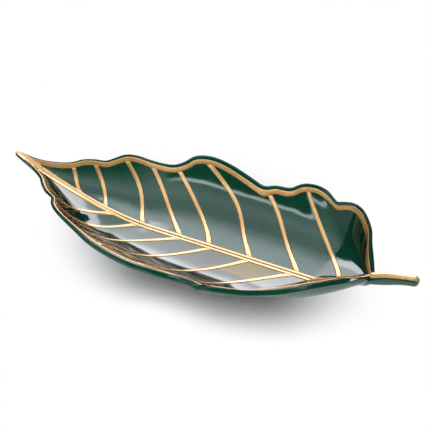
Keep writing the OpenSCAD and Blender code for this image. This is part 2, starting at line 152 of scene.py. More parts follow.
# Side veins: where one leaves the midrib, its bow half way out, its bow near the rim, its slant
VEINS = {
    FAR: [(0.195, -0.01, 0.005, 0.005), (0.265, 0, 0.01, 0.01), (0.375, -0.005, 0.025, 0.005),
          (0.485, -0.015, 0.015, -0.015), (0.565, 0, 0.01, 0), (0.68, -0.01, 0.045, -0.01),
          (0.81, -0.02, 0.02, 0), (0.915, 0, 0, 0)],
    NEAR: [(0.30, -0.01, 0, -0.05), (0.37, 0.015, 0, -0.07), (0.495, -0.01, 0, -0.07),
           (0.58, 0, 0, -0.05), (0.685, 0.005, 0, -0.055), (0.805, -0.01, 0, -0.05),
           (0.92, 0, 0, -0.03)],
}
print("stations:", len(RIM), len(TRIM), "veins:", [len(rows) for rows in VEINS.values()])

# %% Smooth curves through stations


def mix(a, b, t):
    return a + (b - a) * t


def clamp01(t):
    return min(max(t, 0.0), 1.0)


def ease(t):
    return t * t * (3 - 2 * t)


class Stations:
    """Smooth curves through the columns of a table of stations."""

    def __init__(self, table):
        self.table, self.places = table, [row[0] for row in table]
        self.gaps = [b - a for a, b in zip(self.places, self.places[1:])]
        self.slopes = {col: self.steer(col) for col in range(1, len(table[0]))}

    def steer(self, col):
        """Slope at each station, weighted by the distance to its neighbours."""
        chords = [(b[col] - a[col]) / g for a, b, g in zip(self.table, self.table[1:], self.gaps)]
        inner = [(m0 * g1 + m1 * g0) / (g0 + g1)
                 for m0, m1, g0, g1 in zip(chords, chords[1:], self.gaps, self.gaps[1:])]
        return [chords[0], *inner, chords[-1]]

    def at(self, col, s):
        i = min(max(bisect_right(self.places, s) - 1, 0), len(self.gaps) - 1)
        t, slopes = (s - self.places[i]) / self.gaps[i], self.slopes[col]
        bend = (slopes[i] * (1 - t) - slopes[i + 1] * t) * self.gaps[i]
        return mix(self.table[i][col], self.table[i + 1][col], ease(t)) + t * (1 - t) * bend


RIM_CURVE, TRIM_CURVE = Stations(RIM), Stations(TRIM)
HOLLOW_CURVES = {side: Stations(table) for side, table in HOLLOW.items()}
print("near rim lifts", round(RIM_CURVE.at(3, 0.5), 3), "half way along the midrib")

# %% Heights and reaches


def tip_rise(s):
    return TIP_RISE * max(0.0, 1 - s / TIP_CLIMB) ** TIP_POWER


def base_rise(x):
    return BASE_RISE * (max(0.0, x - BASE_CLIMB) / (1 - BASE_CLIMB)) ** BASE_POWER


def root_ridge(y):
    """1 on the line of the stem's root, fading to its sides."""
    return math.exp(-(y / ROOT_WIDTH) ** 2)


def midrib_z(s):
    return WELL_Z + tip_rise(s) + base_rise(s)


def reach(share, s):
    return mix(mix(TIP_HALF, STEM_RADIUS, s), HALF_WIDTH, share)


def rim_reach(side, s):
    if side == NEAR:
        return reach(RIM_CURVE.at(2, s), s)
    return reach(HOLLOW_CURVES[FAR].at(1, s), s) * TRIM_CURVE.at(1, s)


LATE_CLIMB, LATE_UNTIL, LATE_FADE = 0.6, 0.42, 0.2


def hollow_power(side, s):
    """How late the bowl starts to climb: on the near side later towards the tip."""
    if side == FAR:
        return HOLLOW_POWERS[FAR]
    return HOLLOW_POWERS[NEAR] + LATE_CLIMB * (1 - ease(clamp01((s - LATE_UNTIL) / LATE_FADE)))


END_FLARE, FLARE_START, FLARE_GROWN, FLARE_FADE = 3.2 * MM, 0.945, 0.02, 0.012
FLARE_PEAK = 27 / 256  # the highest value of v ** 3 * (1 - v)


def end_flare(side, s, v):
    """How far the far end wall stands back below its rim, so that the rim leans out there."""
    if side == NEAR:
        return 0.0
    ends = ease(clamp01((s - FLARE_START) / FLARE_GROWN)) * ease(clamp01((1 - s) / FLARE_FADE))
    return END_FLARE * ends * v ** 3 * (1 - v) / FLARE_PEAK


print("midrib from", round(midrib_z(0.0) / MM, 1), "mm at the tip to", round(midrib_z(1.0) / MM, 1))

# %% The upper face


def face(side, s, v):
    """Point of the upper face on the cross line that starts at share s, at share v of it."""
    hollow = HOLLOW_CURVES[side]
    inner, lift = reach(hollow.at(1, s), s), RIM_RISE * hollow.at(2, s)
    if side == FAR:
        v *= mix(1.0, TRIM_CURVE.at(1, s), v ** TRIM_POWER)
        place, wider, higher = hollow.at(3, s), 0.0, 0.0
    else:
        lobe = v ** LOBE_POWER
        place = RIM_CURVE.at(1, s)
        wider = (reach(RIM_CURVE.at(2, s), s) - inner) * lobe
        higher = (RIM_RISE * RIM_CURVE.at(3, s) - lift) * lobe
    x = mix(s, place, v ** SWEEP_POWERS[side])
    fold = mix(FOLD, TIP_FOLD, clamp01(1 - s / FOLD_END))
    rise = lift * mix(v ** hollow_power(side, s), v, fold) + higher
    y = inner * v + wider
    climb = base_rise(mix(s, x, END_SQUARE[side])) * (1 - ROOT_DIP[side] * (1 - root_ridge(y)))
    return Vector((TIP_X + LEAF_LENGTH * x - end_flare(side, s, v), side * y,
                   WELL_Z + tip_rise(s) + climb + rise))


STEP = 0.002


def along(side, s, v):
    a, b = max(s - STEP, 0.0), min(s + STEP, 1.0)
    return (face(side, b, v) - face(side, a, v)) / (b - a)


def across(side, s, v):
    a, b = max(v - STEP, 0.0), min(v + STEP, 1.0)
    return (face(side, s, b) - face(side, s, a)) / (b - a)


def face_normal(side, s, v):
    if v < STEP:
        both = [along(f, s, v).cross(across(f, s, v)) * f for f in (FAR, NEAR)]
        return (both[0].normalized() + both[1].normalized()).normalized()
    return (along(side, s, v).cross(across(side, s, v)) * side).normalized()


print("rim at the widest lobe:", [round(c, 4) for c in face(FAR, 0.93, 1.0)])

# %% [markdown]
# ## The blade
#
# The blade was cast in a mould: one wall, thinned and rounded at the lip, flat over the foot. It is
# a grid whose points are moved onto the face. Extruding the grid makes the under face and the
# strip between, and cutting that strip lengthwise gives the points that round the lip. Shares are
# kept in vertex layers, so each later step knows where on the leaf a point belongs.

# %% Rows of even width
BLADE_ROWS, BLADE_COLUMNS = 250, 128


def even_rows(count, samples=3000):
    """Shares of the midrib whose cross lines are evenly spaced where they are widest apart."""
    paths = [(FAR, 0.0), (FAR, 1.0), (NEAR, 1.0)]
    total, run = [0.0], [face(side, 0.0, v) for side, v in paths]
    for i in range(1, samples + 1):
        now = [face(side, i / samples, v) for side, v in paths]
        total.append(total[-1] + max((b - a).length for a, b in zip(run, now)))
        run = now
    rows, i = [], 0
    for k in range(count + 1):
        goal = total[-1] * k / count
        while i < samples - 1 and total[i + 1] < goal:
            i += 1
        part = (goal - total[i]) / (total[i + 1] - total[i])
        rows.append(clamp01((i + part) / samples))
    return rows


row_shares = even_rows(BLADE_ROWS)
print("rows:", len(row_shares), "middle row at share", round(row_shares[BLADE_ROWS // 2], 3))

# %% Under face and lip
TIP_WALL, TIP_THIN = 0.65, 0.15
# Share of the wall that is left at the lip, along the midrib
LIP_WALL = {
    FAR: Stations([(0.0, 0.50), (0.30, 0.55), (0.45, 0.85), (0.90, 0.85), (0.95, 0.50),
                   (0.975, 0.40), (1.0, 0.80)]),
    NEAR: Stations([(0.0, 0.50), (0.35, 0.50), (0.55, 0.80), (0.75, 1.0), (0.95, 0.9), (1.0, 0.80)]),
}
PAD_MARGIN, PAD_FADE = 2 * WALL, 0.5
LIP_BULGE, TIP_BULGE, BULGE_GROWN, LIP_SQUARE = 0.3, 0.12, 0.6, 0.6
BULGE_END, BULGE_FADE = 0.93, 0.07


def wall_here(side, s, v):
    """Thickness of the wall: thinner at the tip, and thinned towards the lip."""
    here = WALL * mix(TIP_WALL, 1.0, ease(clamp01(s / TIP_THIN)))
    return here * mix(1.0, LIP_WALL[side].at(1, s), v * v)


def under(side, s, v):
    """Point of the under face: one wall below the upper face, flat over the foot."""
    top, up = face(side, s, v), Vector((0, 0, 1))
    hang = root_ridge(top.y / 2) * ease(clamp01((s - BASE_CLIMB) / (ROOT_SEAT - BASE_CLIMB)))
    down = up if s in (0.0, 1.0) else face_normal(side, s, v).lerp(up, hang).normalized()
    p = top - down * wall_here(side, s, v)
    out = math.hypot((p.x - FOOT_X) / (FOOT_LENGTH / 2 + PAD_MARGIN),
                     p.y / (FOOT_WIDTH / 2 + PAD_MARGIN))
    p.z = mix(FOOT_HEIGHT, max(p.z, FOOT_HEIGHT), ease(clamp01((out - 1) / PAD_FADE)))
    return p


def outward(side, s, v):
    """Direction in which the lip bulges: off the side, off the tip, or both at the corner."""
    out = Vector((0, 0, 0))
    if v > 1 - STEP:
        sideways, rim = across(side, s, 1.0), along(side, s, 1.0).normalized()
        slide = 0.0 if s in (0.0, 1.0) else sideways.dot(rim)
        out += (sideways - rim * slide).normalized()
    if s == 0.0:
        out -= along(side, s, v).normalized()
    if s == 1.0:
        out.x = 0.0
    return out.normalized() if out.length else out


def lip(side, s, v, depth):
    """Point of the rounded edge, from the upper face at depth 0 to the under face at depth 1."""
    top, low = face(side, s, v), under(side, s, v)
    turn = math.pi * depth
    bulge = mix(TIP_BULGE, LIP_BULGE, ease(clamp01(s / BULGE_GROWN)))
    bulge *= 1 - ease(clamp01((s - BULGE_END) / BULGE_FADE))
    down, out = (abs(f) ** LIP_SQUARE for f in (math.cos(turn), math.sin(turn)))
    return ((top + low) / 2 + (top - low) / 2 * math.copysign(down, math.cos(turn))
            + outward(side, s, v) * wall_here(side, s, v) * bulge * out)


print("wall at the tip", round(wall_here(FAR, 0, 0) / MM, 2), "mm,",
      "over the foot", round(wall_here(FAR, 0.6, 0) / MM, 2), "mm")

# %% Helpers that turn a bmesh into a piece


def share_layers(bm, *names):
    return [bm.verts.layers.float.new(name) for name in names]


def finish_piece(bm, name, nodes):
    """Closes a piece: outward normals, smooth faces, its body, the solids it stands for."""
    bmesh.ops.recalc_face_normals(bm, faces=bm.faces[:])
    for f in bm.faces:
        f.smooth = True
    mesh = bpy.data.meshes.new(name)
    bm.to_mesh(mesh)
    bm.free()
    piece = bpy.data.objects.new(name, mesh)
    bpy.context.scene.collection.objects.link(piece)
    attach(piece, "root")
    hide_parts(*nodes)
    print(name, len(mesh.vertices), "vertices,", len(mesh.polygons), "faces")
    return piece


def extrude_copy(bm):
    """Extrudes every face of an open skin and returns the new points."""
    made = bmesh.ops.extrude_face_region(bm, geom=bm.faces[:], use_keep_orig=True)["geom"]
    return [g for g in made if isinstance(g, bmesh.types.BMVert)]


print("solids to dress:", len(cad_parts), "on one body, for nothing on the dish moves")

# %% Blade
LIP_CUTS = 9

bm = bmesh.new()
bmesh.ops.create_grid(bm, x_segments=BLADE_ROWS, y_segments=BLADE_COLUMNS, size=1.0)
at_s, at_c, at_depth = share_layers(bm, "blade_share", "cross_share", "depth_share")
for p in bm.verts:
    p[at_s] = row_shares[round((p.co.x + 1) / 2 * BLADE_ROWS)]
    p[at_c] = round(p.co.y * BLADE_COLUMNS / 2) / (BLADE_COLUMNS / 2)


def leaf_place(p):
    """Side, midrib share and cross share of a point of the blade."""
    return FAR if p[at_c] >= 0 else NEAR, p[at_s], abs(p[at_c])


for p in bm.verts:
    p.co = face(*leaf_place(p))
for p in extrude_copy(bm):
    p[at_depth] = 1.0
    p.co = under(*leaf_place(p))
edge_strip = [e for e in bm.edges if e.verts[0][at_depth] != e.verts[1][at_depth]]
bmesh.ops.subdivide_edges(bm, edges=edge_strip, cuts=LIP_CUTS)
for p in bm.verts:
    if 0.0 < p[at_depth] < 1.0:
        p.co = lip(*leaf_place(p), p[at_depth])
blade = finish_piece(bm, "glazed_blade", ["leaf_body"])

# %% [markdown]
# ## The stem
#
# A roll of clay is luted to the end of the blade and drawn out to a blunt end. A curve with a
# bevel would give the rod, but the root has to flatten into the wall of the blade, so a capped
# cylinder is cut into rings, and each ring is set on the stem's line with its own section. The
# rings lie closer together at the blunt end, and a low keel thickens the root from below.

# %% Stem
STEM_SIDES, STEM_CUTS = 48, 44
STEM_START, STEM_ROUND, STEM_END, STEM_CUT = -0.90, 0.35, 0.925, 0.55
STEM_LIFT, STEM_DROOP, RING_CROWD = 7 * MM, 0.15, 1.6
ROOT_HALF, ROOT_EXTRA, KEEL, KEEL_FADE = 5 * MM, 0.25 * MM, 3.0 * MM, 0.8
STEM_ROOT_Z = midrib_z(1.0) - WALL / 2


def stem_section(t):
    """Centre, half width and half height of the stem at share t of its length, keel included."""
    x = BASE_X + STEM_LENGTH * t
    if t < 0:
        rooted = ease(1 + t / -STEM_START)
        z = midrib_z(1 + t * STEM_LENGTH / LEAF_LENGTH) - WALL / 2
        wide = mix(STEM_RADIUS, ROOT_HALF, rooted)
        tall = WALL / 2 + mix(-ROOT_EXTRA, ROOT_EXTRA, rooted)
        keel = KEEL * rooted
    else:
        blend = ease(clamp01(t / STEM_ROUND))
        blunt = math.sqrt(1 - (max(0.0, t - STEM_END) / (1 - STEM_END)) ** 2 * (1 - STEM_CUT ** 2))
        z = STEM_ROOT_Z + STEM_LIFT * t * (1 + STEM_DROOP * (1 - t))
        wide = mix(ROOT_HALF, STEM_RADIUS, blend) * blunt
        tall = mix(WALL / 2 + ROOT_EXTRA, STEM_RADIUS, blend) * blunt
        keel = KEEL * (1 - ease(clamp01(t / KEEL_FADE)))
    return Vector((x, 0, z - keel / 2)), wide, tall + keel / 2


def stem_point(t, turn):
    centre, wide, tall = stem_section(t)
    return centre + Vector((0, wide * math.sin(turn), tall * math.cos(turn)))


bm = bmesh.new()
bmesh.ops.create_cone(bm, cap_ends=True, segments=STEM_SIDES, radius1=1.0, radius2=1.0, depth=2.0)
(at_t,) = share_layers(bm, "stem_share")
for p in bm.verts:
    p[at_t] = (p.co.z + 1) / 2
long_edges = [e for e in bm.edges if e.verts[0][at_t] != e.verts[1][at_t]]
bmesh.ops.subdivide_edges(bm, edges=long_edges, cuts=STEM_CUTS)
for p in bm.verts:
    crowded = 1 - (1 - p[at_t]) ** RING_CROWD
    p.co = stem_point(mix(STEM_START, 1.0, crowded), math.atan2(p.co.x, p.co.y))
stem = finish_piece(bm, "glazed_stem", ["stem"])

# %% [markdown]
# ## The foot
#
# Under the belly a low ring keeps the dish level. Its bottom is wiped clean of glaze before the
# firing, so it shows the bare buff body. A circle drawn into a lens is extruded ring by ring, the
# last ring is bridged to the first, and the two edges that touch the table are bevelled.

# %% Foot
FOOT_SIDES = 128
LENS_RADIUS = (FOOT_LENGTH ** 2 + FOOT_WIDTH ** 2) / (4 * FOOT_WIDTH)
LENS_OFF = LENS_RADIUS - FOOT_WIDTH / 2
FOOT_ROUND = 0.8 * MM


def lens_point(turn, radius, z):
    out = math.sqrt(radius ** 2 - (LENS_OFF * math.cos(turn)) ** 2) - LENS_OFF * abs(math.sin(turn))
    return Vector((FOOT_X + out * math.cos(turn), out * math.sin(turn), z))


land = LENS_RADIUS - FOOT_DRAFT
inner = land - FOOT_LAND
foot_rings = [(LENS_RADIUS, FOOT_HEIGHT), (land, 0.0), (inner, 0.0),
              (inner - FOOT_DRAFT, FOOT_HEIGHT)]
bm = bmesh.new()
bmesh.ops.create_circle(bm, segments=FOOT_SIDES, radius=1.0)
(at_turn,) = share_layers(bm, "turn")
for p in bm.verts:
    p[at_turn] = math.atan2(p.co.y, p.co.x)
ring_edges = bm.edges[:]
first_ring, touching = ring_edges, []
for k, (radius, z) in enumerate(foot_rings):
    if k:
        made = bmesh.ops.extrude_edge_only(bm, edges=ring_edges)["geom"]
        ring_edges = [g for g in made if isinstance(g, bmesh.types.BMEdge)
                      and all(v in made for v in g.verts)]
    for p in {v for e in ring_edges for v in e.verts}:
        p.co = lens_point(p[at_turn], radius, z)
    if z == 0.0:
        touching += ring_edges
bmesh.ops.bridge_loops(bm, edges=first_ring + ring_edges)
bmesh.ops.bevel(bm, geom=touching, affect="EDGES", offset=FOOT_ROUND, segments=3, profile=0.5,
                material=-1)
foot = finish_piece(bm, "bare_foot", ["foot_ring"])

# %% [markdown]
# ## The gilding
#
# The gold is brushed on over the fired glaze and stands a hair proud, with rounded shoulders.
# A stroke could be painted in a material, but then it would have no body of its own in the mesh.
# Here each stroke is a narrow grid laid on the face, crowned across, and extruded down into the
# glaze, with its length and width kept as a UV map for the brush marks.

# %% One stroke of gold
GILT, GILT_BED = 0.42 * MM, 0.25 * MM
STROKE_COLUMNS = 10
END_DIVE = 2.0 * MM


def crown(b):
    return math.sqrt(max(0.0, 1 - b ** 4))


def brush_share(inner, a, b):
    """Where a point lies across the brush, when the stroke's inner edge isn't the brush's edge."""
    if inner is None:
        return b
    edge, side = inner(a)
    return mix(edge, 1.0, (b * side + 1) / 2) * side


def gild(name, node, rows, place, height=1.0, dive=False, columns=STROKE_COLUMNS, inner=None):
    """A stroke of gold. place(a, b) gives point and normal at share a along and -1 to 1 across.
    With dive its two ends sink into the gold that they meet. Where two strokes make one brush
    mark, inner(a) gives the place of the inner edge across the brush, and the stroke's side."""
    bm = bmesh.new()
    bmesh.ops.create_grid(bm, x_segments=rows, y_segments=columns, size=1.0)
    at_a, at_b = share_layers(bm, "along_share", "across_share")
    middle = [place(k / rows, 0.0)[0] for k in range(rows + 1)]
    lengths = [0.0]
    for p0, p1 in zip(middle, middle[1:]):
        lengths.append(lengths[-1] + (p1 - p0).length)
    seats = {}
    for p in bm.verts:
        k, b = round((p.co.x + 1) / 2 * rows), p.co.y
        p[at_a], p[at_b] = k, b
        point, normal = place(k / rows, b)
        b = brush_share(inner, k / rows, b)
        to_end = min(lengths[k], lengths[-1] - lengths[k]) / END_DIVE if dive else 1.0
        stand = GILT * height * crown(b) * ease(clamp01(to_end))
        seats[k, round(p[at_b] * columns)] = (point, normal)
        p.co = point + normal * stand
    for p in extrude_copy(bm):
        point, normal = seats[round(p[at_a]), round(p[at_b] * columns)]
        p.co = point - normal * GILT_BED
    brush = bm.loops.layers.uv.new("brush")
    for f in bm.faces:
        for corner in f.loops:
            p = corner.vert
            corner[brush].uv = (lengths[round(p[at_a])], brush_share(inner, p[at_a] / rows, p[at_b]))
    return finish_piece(bm, name, [node])


print("a stroke stands", round(GILT / MM, 2), "mm proud and", round(GILT_BED / MM, 2), "mm deep")

# %% Widths on the face
VEIN_WIDTH, LIP_WIDTH = 3.4 * MM, 1.8 * MM
# Width of the rim's bands in millimetres, along the midrib
BAND_WIDTH = {
    FAR: Stations([(0.0, 4.6), (0.10, 4.6), (0.30, 4.3), (0.50, 4.3), (0.70, 4.3), (0.90, 4.3),
                   (0.95, 4.0), (0.962, 4.4), (0.975, 7.5), (0.985, 8.0), (1.0, 6.0)]),
    NEAR: Stations([(0.0, 3.2), (1.0, 3.2)]),
}
LIP_TIP, LIP_GROWN = 0.15, 0.65
LEAST_DEPTH, END_RIM, END_RIM_FADE, NOTCH = 0.5, 0.95, 3.0, 0.006
BAND_LOWEST, LIP_LOWEST = 0.6, 8 / 9
MIDRIB_WIDTH, MIDRIB_GAP = 6.4 * MM, 0.8 * MM
GAP_START, GAP_FULL, ROOT_WIDE, ROOT_WIDENS = 0.22, 0.34, 1.8, 0.9
GAP_MOST, STRAND_MOST = 1 / 9, 1 / 2
VEIN_FLARE, FLARE_LENGTH, FLARE_FROM, HOOK = 1.3, 0.35, 0.02, 9.5
TIP_GILT = 0.075


def vein_share(row, v):
    """Share of the midrib at share v of a vein, with its bows and its slant."""
    start, bow, hook, slant = row
    return start + bow * 4 * v * (1 - v) + hook * HOOK * v ** 3 * (1 - v) + slant * v


def vein_half(side, row, v):
    """Half a vein's width as a share of the midrib; it flares where it leaves the midrib."""
    near = max(v, FLARE_FROM)
    a, b = near - STEP, min(near + STEP, 1.0)
    path = face(side, vein_share(row, b), b) - face(side, vein_share(row, a), a)
    spread = along(side, vein_share(row, v), v).cross(path).length / path.length
    return VEIN_WIDTH / 2 / spread * mix(VEIN_FLARE, 1.0, ease(clamp01(v / FLARE_LENGTH)))


def rim_depth(side, s):
    """How far inside the rim one whole cross share reaches, where the cross line meets it askew."""
    rim, out = along(side, s, 1.0), across(side, s, 1.0)
    least = LEAST_DEPTH * (1 - ease(clamp01((s - END_RIM) / (1 - END_RIM) * END_RIM_FADE)))
    return max(out.cross(rim).length / rim.length, out.length * least)


def band_shares(side, s):
    """Cross shares of a band's inner and outer edge; its depth is averaged over the rim's notches."""
    deep = sum(rim_depth(side, clamp01(s + step)) for step in (-NOTCH, 0.0, NOTCH)) / 3
    lip_here = LIP_WIDTH * mix(LIP_TIP, 1.0, ease(clamp01(s / LIP_GROWN)))
    band = BAND_WIDTH[side].at(1, s) * MM
    return max(1 - (lip_here + band) / deep, BAND_LOWEST), max(1 - lip_here / deep, LIP_LOWEST)


def parted(s):
    """0 where the midrib is one stroke, 1 where its strands have parted."""
    return ease(clamp01((s - GAP_START) / (GAP_FULL - GAP_START)))


def strand_shares(side, s):
    """Cross shares of a strand's inner and outer edge; it widens towards the stem's root."""
    out, gap = rim_reach(side, s), MIDRIB_GAP * parted(s)
    widens = ease(clamp01((s - ROOT_WIDENS) / (1 - ROOT_WIDENS)))
    wide = MIDRIB_WIDTH / 2 * mix(1.0, ROOT_WIDE, widens)
    return min(gap / 2 / out, GAP_MOST), min(wide / out, STRAND_MOST)


def on_face(side, s, v):
    return face(side, s, v), face_normal(side, s, v)


SIDE_NAMES = {FAR: "far", NEAR: "near"}
print("rim is", round(rim_depth(FAR, 0.6) / MM, 1), "mm deep per cross share at share 0.6")

# %% Bands and strands
BAND_ROWS, STRAND_ROWS, STRAND_HEIGHT = 420, 240, 1.1
gold_pieces = []
band_row_shares = even_rows(BAND_ROWS)


def band_place(side):
    def place(a, b):
        s = max(TIP_GILT, band_row_shares[round(a * BAND_ROWS)])
        v0, v1 = band_shares(side, s)
        return on_face(side, s, mix(v0, v1, (b * side + 1) / 2))
    return place


def strand_place(side):
    def place(a, b):
        s = mix(TIP_GILT, 1.0, a)
        v0, v1 = strand_shares(side, s)
        return on_face(side, s, mix(v0, v1, (b * side + 1) / 2))
    return place


def strand_edge(side):
    return lambda a: (-parted(mix(TIP_GILT, 1.0, a)), side)


for side, word in SIDE_NAMES.items():
    gold_pieces.append(gild(f"gold_band_{word}", f"rim_band_{word}", BAND_ROWS, band_place(side)))
    gold_pieces.append(gild(f"gold_strand_{word}", f"midrib_strand_{word}", STRAND_ROWS,
                            strand_place(side), height=STRAND_HEIGHT, inner=strand_edge(side)))

# %% Veins
VEIN_ROWS, VEIN_HEIGHT = 60, 0.95
STRAND_LAP, BAND_LAP = 0.75, 0.2


def vein_place(side, row):
    v0 = strand_shares(side, row[0])[1] * STRAND_LAP
    v1 = mix(band_shares(side, vein_share(row, 1.0))[0], 1.0, BAND_LAP)

    def place(a, b):
        v = mix(v0, v1, a)
        return on_face(side, vein_share(row, v) - b * side * vein_half(side, row, v), v)
    return place


for side, word in SIDE_NAMES.items():
    for number, row in enumerate(VEINS[side], start=1):
        gold_pieces.append(gild(f"gold_vein_{word}_{number}", f"vein_{word}_{number}", VEIN_ROWS,
                                vein_place(side, row), height=VEIN_HEIGHT, dive=True))

# %% Gold tip and gold on the stem
TIP_ROWS, TIP_COLUMNS, TIP_LAP = 24, 20, 1.05
STEM_GILT_ROWS, STEM_GILT_COLUMNS = 60, 24
STEM_GILT_START, STEM_GILT_END, STEM_GILT_TURN = -0.04, 0.99, math.radians(50)


def tip_place(a, b):
    side, v = (FAR if b >= 0 else NEAR), abs(b)
    s = TIP_GILT * TIP_LAP * a
    return on_face(side, s, v * band_shares(side, s)[1])


def stem_gilt_place(a, b):
    t = mix(STEM_GILT_START, STEM_GILT_END, a)
    p = stem_point(t, b * STEM_GILT_TURN)
    return p, (p - stem_section(t)[0]).normalized()


gold_pieces.append(gild("gold_tip", "tip_gilding", TIP_ROWS, tip_place, columns=TIP_COLUMNS))
gold_pieces.append(gild("gold_stem", "stem_gilding", STEM_GILT_ROWS, stem_gilt_place,
                        columns=STEM_GILT_COLUMNS))
print("strokes of gold:", len(gold_pieces))

# %% [markdown]
# ## Writing shader maths
#
# A finish is a net of small nodes, and wiring each by hand hides the idea. One class wraps a
# socket: sums and products of sockets add Math nodes by themselves, and one method adds any other
# node, its settings first and then its values and links.

# %% Sockets that can be added and multiplied


class Wire:
    def __init__(self, tree, socket=None):
        self.tree, self.socket = tree, socket

    def add(self, kind, settings=None, sockets=None, out=0):
        node = self.tree.nodes.new(kind)
        for name, value in (settings or {}).items():
            if name == "stops":
                self.set_stops(node.color_ramp, value)
            else:
                setattr(node, name, value)
        for name, value in (sockets or {}).items():
            if isinstance(value, Wire):
                self.tree.links.new(value.socket, node.inputs[name])
            else:
                node.inputs[name].default_value = value
        return Wire(self.tree, node.outputs[out] if len(node.outputs) else None)

    @staticmethod
    def set_stops(ramp, stops):
        while len(ramp.elements) < len(stops):
            ramp.elements.new(1.0)
        for element, (place, colour) in zip(ramp.elements, stops):
            element.position, element.color = place, colour

    def math(self, operation, *others):
        return self.add("ShaderNodeMath", {"operation": operation}, dict(enumerate([self, *others])))

    def __add__(self, other):
        return self.math("ADD", other)

    def __sub__(self, other):
        return self.math("SUBTRACT", other)

    def __mul__(self, other):
        return self.math("MULTIPLY", other)

    def __rsub__(self, other):
        return (self * -1.0).math("ADD", other)

    def __pow__(self, other):
        return self.math("POWER", other)

    __radd__, __rmul__ = __add__, __mul__

    def between(self, low, high):
        """0 below low, 1 above high, smooth between."""
        return self.add("ShaderNodeMapRange", {"interpolation_type": "SMOOTHSTEP"},
                        {"Value": self, "From Min": low, "From Max": high})

    def dot(self, socket, direction):
        """How far a socket's vector reaches along a direction."""
        return self.add("ShaderNodeVectorMath", {"operation": "DOT_PRODUCT"},
                        {0: socket, 1: tuple(direction)}, out="Value")

    def blend(self, first, second):
        """Mix of two colours, by this value."""
        return self.add("ShaderNodeMix", {"data_type": "RGBA"},
                        {"Factor": self, "A": first, "B": second}, out=2)


print("shader maths ready")

# %% Starting a finish


def srgb(r, g, b):
    """A colour written as it looks on screen, 0 to 255, as the linear colour that nodes take."""
    parts = [c / 255 for c in (r, g, b)]
    linear = [c / 12.92 if c <= 0.04045 else ((c + 0.055) / 1.055) ** 2.4 for c in parts]
    return (*linear, 1.0)


def new_finish(name):
    """An empty material, and a wire to start its nodes from."""
    material = bpy.data.materials.new(name)
    material.use_nodes = True
    material.node_tree.nodes.clear()
    return material, Wire(material.node_tree)


def noise(start, where, scale, detail=2.0, roughness=0.5, distortion=0.0):
    return start.add("ShaderNodeTexNoise", {"noise_dimensions": "3D"},
                     {"Vector": where, "Scale": scale, "Detail": detail, "Roughness": roughness,
                      "Distortion": distortion})


def put_on(material, *pieces):
    for piece in pieces:
        piece.data.materials.clear()
        piece.data.materials.append(material)
    print(material.name, "on", len(pieces), "piece" if len(pieces) == 1 else "pieces")


print("mid grey on screen is", round(srgb(128, 128, 128)[0], 3), "in linear light")

# %% [markdown]
# ## The glaze
#
# A coloured glass over pale clay: deep green where it lies thick in the hollows, a touch lighter
# where it draws thin on the lip. Its surface is very smooth but never quite flat, so reflections
# waver. Colour, roughness and a very shallow bump all come from noise at sizes of a real glaze.

# %% Glaze
glaze, start = new_finish("bottle_green_glaze")
spot = start.add("ShaderNodeTexCoord", out="Object")
pooling = noise(start, spot, 22.0, detail=3.0).between(0.35, 0.68)
mottle = noise(start, spot, 210.0, detail=4.0, roughness=0.6).between(0.3, 0.75)
flecks = noise(start, spot, 1500.0, detail=1.0).between(0.66, 0.74)
green = pooling.blend(srgb(2, 62, 43), srgb(1, 54, 38))
green = (mottle * 0.35).blend(green, srgb(3, 69, 48))
green = (flecks * 0.3).blend(green, srgb(8, 40, 28))
waves, pores = noise(start, spot, 28.0, detail=2.0), noise(start, spot, 420.0, detail=2.0)
ripple = waves * 0.00022 + pores * 0.000004
relief = start.add("ShaderNodeBump", {}, {"Strength": 1.0, "Distance": 1.0, "Height": ripple})
sheen = noise(start, spot, 60.0, detail=3.0) * 0.05 + 0.045
shader = start.add("ShaderNodeBsdfPrincipled", {},
                   {"Base Color": green, "Roughness": sheen, "IOR": 1.7, "Normal": relief})
start.add("ShaderNodeOutputMaterial", {}, {"Surface": shader})
put_on(glaze, blade, stem)

# %% [markdown]
# ## The gold
#
# Fired gold lustre is a thin metal film. It is brighter where the brush laid it on thick and
# browner along the edges of a stroke, where it is thin and the dark glaze shows through. The
# stroke's UV map says where the edge is, and stretched noise along it gives the brush marks.

# %% Gold
gold, start = new_finish("brushed_gold_lustre")
brush = start.add("ShaderNodeUVMap", {"uv_map": "brush"})
spot = start.add("ShaderNodeTexCoord", out="Object")
edge = start.add("ShaderNodeSeparateXYZ", {}, {"Vector": brush}, out="Y").math("ABSOLUTE")
streak_space = start.add("ShaderNodeMapping", {}, {"Vector": brush, "Scale": (60.0, 3.5, 1.0)})
streaks = noise(start, streak_space, 1.0, detail=3.0, roughness=0.6)
patches = noise(start, spot, 90.0, detail=3.0)
thin = (edge + (streaks - 0.5) * 0.25).between(0.72, 1.02)
tone = (patches * 0.6 + streaks * 0.4).between(0.35, 0.65)
colour = tone.blend(srgb(230, 172, 96), srgb(238, 184, 110))
colour = (thin * 0.5).blend(colour, srgb(156, 102, 50))
rough = streaks * 0.14 + 0.18 + thin * 0.1
height = streaks * 0.00003 + noise(start, spot, 160.0, detail=2.0) * 0.00008
relief = start.add("ShaderNodeBump", {}, {"Strength": 0.7, "Distance": 1.0, "Height": height})
shader = start.add("ShaderNodeBsdfPrincipled", {},
                   {"Base Color": colour, "Metallic": 0.58, "Roughness": rough, "IOR": 1.9,
                    "Coat Weight": 0.5, "Coat IOR": 2.2, "Coat Roughness": 0.16, "Normal": relief})
start.add("ShaderNodeOutputMaterial", {}, {"Surface": shader})
put_on(gold, *gold_pieces)

# %% [markdown]
# ## The bare foot
#
# Unglazed stoneware is matt and warm, with dark specks of iron and grey marks on the rim that
# rubs the table. Height picks out that rim, and two sizes of noise give grain and specks.

